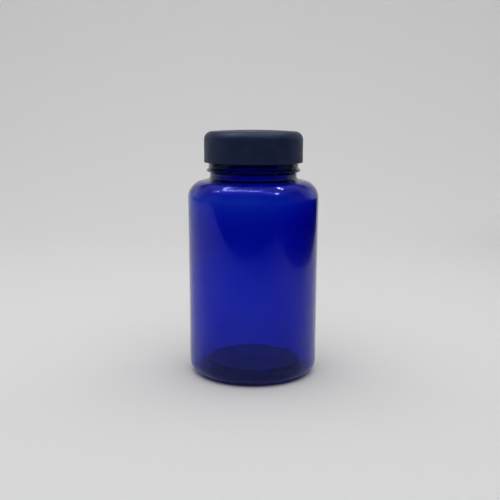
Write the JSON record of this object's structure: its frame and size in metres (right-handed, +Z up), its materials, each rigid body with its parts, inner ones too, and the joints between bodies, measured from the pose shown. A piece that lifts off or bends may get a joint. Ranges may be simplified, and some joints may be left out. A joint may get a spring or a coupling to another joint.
{
  "type": "screw-cap pill bottle",
  "caption": "Squat cylindrical pill bottle in clear cobalt-blue plastic with a dark smooth screw cap, a threaded neck with a transfer ring, and a foil-faced liner inside the cap.",
  "frame": {"origin": "centre of the standing ring, on the surface that the bottle stands on", "axes": "+Z up along the bottle's axis, from the base to the cap; X and Y are alike except for where the thread starts, which is on +X"},
  "size_m": [0.0544, 0.0544, 0.102],
  "materials": {
    "clear_blue_pet": "polished",
    "navy_polypropylene": "satin",
    "pulp_board": "matte",
    "seal_foil": "satin"
  },
  "bodies": {
    "bottle": {"bottle": "clear_blue_pet"},
    "liner": {"liner_board": "pulp_board", "foil_seal": "seal_foil"},
    "cap": {"screw_cap": "navy_polypropylene"}
  },
  "joints": [
    {"name": "liner_lift", "type": "slide", "parent": "bottle", "child": "liner", "axis": [0, 0, 1], "range_m": [0, 0.0127]},
    {"name": "cap_turn", "type": "hinge", "parent": "liner", "child": "cap", "pos_m": [0, 0, 0.0955], "axis": [0, 0, 1], "range_deg": [0, 1080]}
  ],
  "couplings": [
    {"joint": "liner_lift", "follows": "cap_turn", "m_per_rad": 0.00067375}
  ]
}
